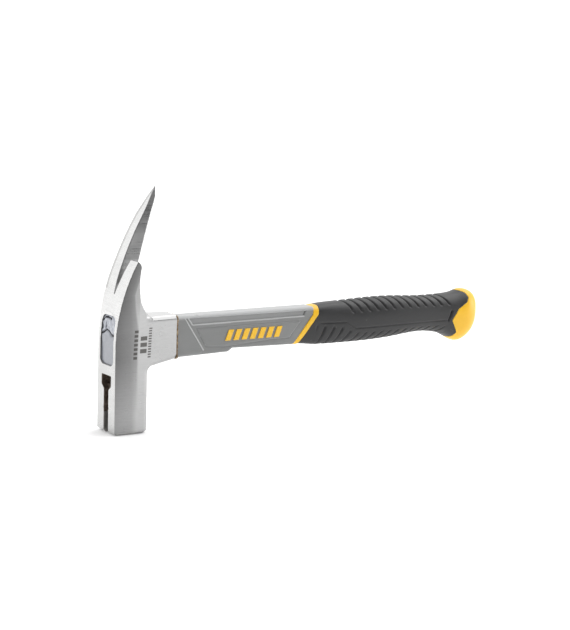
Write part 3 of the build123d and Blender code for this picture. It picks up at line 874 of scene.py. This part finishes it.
def step_seam(x, y, z):
    """The fine seam along the step line."""
    seam = groove_profile(distance_to_path(x, z, LOWER_STEP), SEAM_WIDTH) * smoothstep(*SEAM_SIDE, np.abs(y))
    return seam * smoothstep(*SEAM_START, x)


def step_drop(x, z, step_line):
    """How far the surface is sunk below the step line."""
    drop = STEP_DEPTH * smoothstep(-STEP_HALF, STEP_HALF, step_line - z) * smoothstep(*STEP_START, x)
    return drop * smoothstep(*STEP_END, x)


def short_slot(x, y, z):
    """The short slot near the butt cap."""
    return groove_profile(distance_to_path(x, z, SLOT_LINE), SLOT_WIDTH) * (np.abs(y) > SLOT_SIDE)


def make_grip():
    piece = soft_copy("grip_sleeve", "grip_rubber", voxel=0.46, passes=3)
    points, normals = vertex_arrays(piece.data)
    x, y, z = points.T
    outer = normals[:, 1] * y + normals[:, 2] * (z - GRIP_MIDDLE) > OUTSIDE
    step_line = np.interp(x, *zip(*LOWER_STEP))
    depth = np.maximum(UPPER_DEPTH * upper_grooves(x, y, z), LOWER_DEPTH * lower_grooves(x, y, z, step_line))
    depth = np.maximum(depth, SEAM_DEPTH * step_seam(x, y, z))
    depth = np.maximum(depth, SLOT_DEPTH * short_slot(x, y, z)) + step_drop(x, z, step_line)
    points -= (outer * depth)[:, None] * normals
    move_vertices(piece.data, points)
    rubber = moulded_material("grip_rubber", (0.0225, 0.0225, 0.0235), rough=0.44, grain_depth=0.02,
                              speck=0.12)
    finish_piece(piece, [rubber], "soft_grip", "grip_sleeve")


# ---------------------------------------------------------------- yellow parts and hidden nodes
def make_yellow_parts():
    yellow = moulded_material("yellow_plastic", (0.88, 0.50, 0.018), rough=0.36, grain_depth=0.008,
                              speck=0.05, coat=0.1)
    for node, name, voxel in (
        ("trim_band", "chevron_band", 0.35),
        ("butt_cap", "cap_shell", 0.5),
        ("badge_left", "badge_bars_left", 0.2),
        ("badge_right", "badge_bars_right", 0.2),
    ):
        piece = soft_copy(node, name, voxel, passes=3)
        finish_piece(piece, [yellow], "yellow_trim", node)


def dress_hidden_nodes():
    """Materials for the CAD nodes that stay as they are."""
    looks = {
        "nail_magnet": nickel_material(),
        "fibreglass_core": fibreglass_material(),
        "grip_body": moulded_material("inner_plastic", (0.05, 0.05, 0.055), rough=0.5, grain_depth=0.02),
    }
    for node, material in looks.items():
        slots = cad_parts[node].material_slots
        for slot in slots:
            slot.material = material


# ---------------------------------------------------------------- studio
FLOOR_RINGS = (0.5, 2.0, 8.0, 60.0)   # radii in metres
FLOOR_SIDES = 48
FLOOR_GAP = 0.2 * MM        # how far the floor lies below the object
FLOOR_GLOW = 0.13


def make_floor():
    """A wide round floor, just under the object."""
    shape = bmesh.new()
    centre = shape.verts.new((0.0, 0.0, 0.0))
    rings = []
    for radius in FLOOR_RINGS:
        ring = []
        for i in range(FLOOR_SIDES):
            angle = 2.0 * math.pi * i / FLOOR_SIDES
            ring.append(shape.verts.new((radius * math.cos(angle), radius * math.sin(angle), 0.0)))
        rings.append(ring)
    for i in range(FLOOR_SIDES):
        j = (i + 1) % FLOOR_SIDES
        shape.faces.new((centre, rings[0][i], rings[0][j]))
        for inner, outer in zip(rings[:-1], rings[1:]):
            shape.faces.new((inner[i], outer[i], outer[j], inner[j]))
    mesh = bpy.data.meshes.new("floor")
    shape.to_mesh(mesh)
    shape.free()
    floor = bpy.data.objects.new("floor", mesh)
    floor.location.z = cad_low.z - FLOOR_GAP
    scene.collection.objects.link(floor)
    material, tree = new_material("pale_floor")
    mottle = noise(tree, object_coordinates(tree), scale=0.004, detail=3.0, roughness=0.5)
    colour = ramp(tree, mottle, [(0.3, (0.93, 0.93, 0.93)), (0.7, (0.95, 0.95, 0.95))])
    surface(tree, Base_Color=colour, Roughness=0.8,
            Emission_Color=(1.0, 1.0, 1.0), Emission_Strength=FLOOR_GLOW)
    mesh.materials.append(material)


WORLD_FRONT = 0.18          # radiance of the studio on the camera's side
WORLD_BACK = 1.26           # and behind the object
WORLD_BEHIND = (-0.15, 0.95, 0.28)   # the way to the brightest part
WORLD_TURN = (-0.40, 0.40)  # share of that way between which the one becomes the other
WORLD_RIGHT = 1.3           # a soft bank of light at the right
BANK_WAY = (0.90, -0.43, 0.0)
BANK_EDGE = (0.86, 0.97)    # share of the way to the bank between which its light begins


def share_of_way(tree, direction, way):
    """How far a direction points the given way, up to about 1."""
    return add(tree, "ShaderNodeVectorMath", {0: direction, 1: way}, operation="DOT_PRODUCT").outputs["Value"]


def make_world():
    """A studio that is bright behind the object and dim on the camera's side."""
    world = bpy.data.worlds.new("studio")
    world.use_nodes = True
    scene.world = world
    tree = world.node_tree
    tree.nodes.clear()
    direction = add(tree, "ShaderNodeTexCoord").outputs["Generated"]
    behind = share_of_way(tree, direction, WORLD_BEHIND)
    beside = share_of_way(tree, direction, BANK_WAY)
    main = level(tree, behind, WORLD_FRONT, WORLD_BACK, *WORLD_TURN)
    bank = level(tree, beside, 0.0, WORLD_RIGHT, *BANK_EDGE)
    strength = maths(tree, "ADD", main, bank)
    background = add(tree, "ShaderNodeBackground", {"Color": (1.0, 1.0, 1.0, 1.0), "Strength": strength})
    output = add(tree, "ShaderNodeOutputWorld")
    tree.links.new(background.outputs["Background"], output.inputs["Surface"])


SUN_POWER = 1.7
SUN_SPREAD = 60.0           # degrees
SUN_WAY = (0.45, -0.12, 0.88)
RIM_PLACE = (1.9, -0.6, 0.35)
RIM_SIZE = 1.0
RIM_POWER = 8.0


def make_lights():
    """A soft sun from above and a square lamp at the right, which lights the edges."""
    sun_data = bpy.data.lights.new("overhead", "SUN")
    sun_data.energy = SUN_POWER
    sun_data.angle = math.radians(SUN_SPREAD)
    sun = bpy.data.objects.new("overhead", sun_data)
    sun.rotation_euler = Vector(SUN_WAY).to_track_quat("Z", "Y").to_euler()
    scene.collection.objects.link(sun)

    rim_data = bpy.data.lights.new("rim_right", "AREA")
    rim_data.shape = "RECTANGLE"
    rim_data.size = RIM_SIZE
    rim_data.size_y = RIM_SIZE
    rim_data.energy = RIM_POWER
    rim = bpy.data.objects.new("rim_right", rim_data)
    rim.location = RIM_PLACE
    middle = (cad_low + cad_high) / 2
    rim.rotation_euler = (Vector(RIM_PLACE) - middle).to_track_quat("Z", "Y").to_euler()
    scene.collection.objects.link(rim)


make_camera()
make_world()
make_floor()
make_lights()
make_head()
make_resin()
make_bead()
make_jacket()
make_grip()
make_yellow_parts()
dress_hidden_nodes()
scene.view_settings.view_transform = "Standard"
